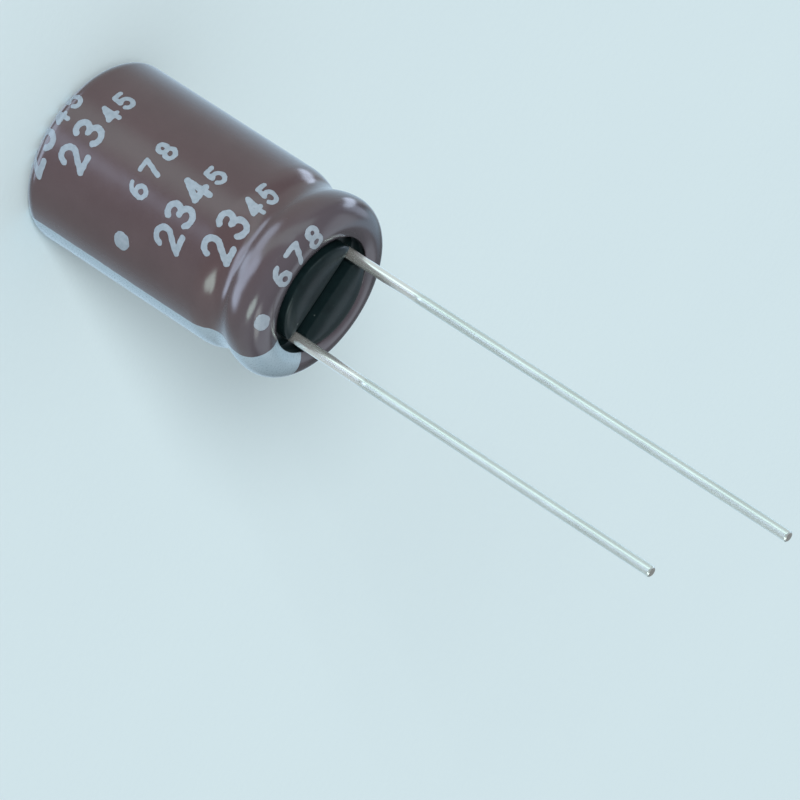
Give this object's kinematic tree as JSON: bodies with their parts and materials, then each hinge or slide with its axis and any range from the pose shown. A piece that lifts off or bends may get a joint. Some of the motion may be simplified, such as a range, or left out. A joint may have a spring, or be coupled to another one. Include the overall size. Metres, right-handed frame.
{
  "type": "electrolytic capacitor",
  "caption": "Radial polarised capacitor: a round sleeved can with a beaded, crimped end, a rubber bung and parallel wire leads of unequal length.",
  "frame": {"origin": "centre of the closed end, which the part stands on", "axes": "+Z along the can's axis towards the leads, +X from the long lead towards the short lead and the polarity stripe, +Y completes the frame"},
  "size_m": [0.0102, 0.0102, 0.0443],
  "materials": {
    "vinyl_sleeve": "glossy plum-brown shrink sleeve with a pale stripe",
    "bare_aluminium": "drawn, satin",
    "black_rubber": "moulded, slightly glossy",
    "tinned_wire": "bright tinned",
    "tab_aluminium": "satin",
    "etched_foil": "matt, etched",
    "plain_foil": "satin",
    "separator_paper": "soaked kraft paper",
    "closing_tape": "thin film tape"
  },
  "bodies": {
    "root": {"sleeve": "vinyl_sleeve", "can": "bare_aluminium", "bung": "black_rubber", "anode_lead": "tinned_wire", "cathode_lead": "tinned_wire", "anode_tab": "tab_aluminium", "cathode_tab": "tab_aluminium", "anode_foil": "etched_foil", "cathode_foil": "plain_foil", "inner_paper": "separator_paper", "outer_paper": "separator_paper", "winding_tape": "closing_tape"}
  },
  "joints": []
}
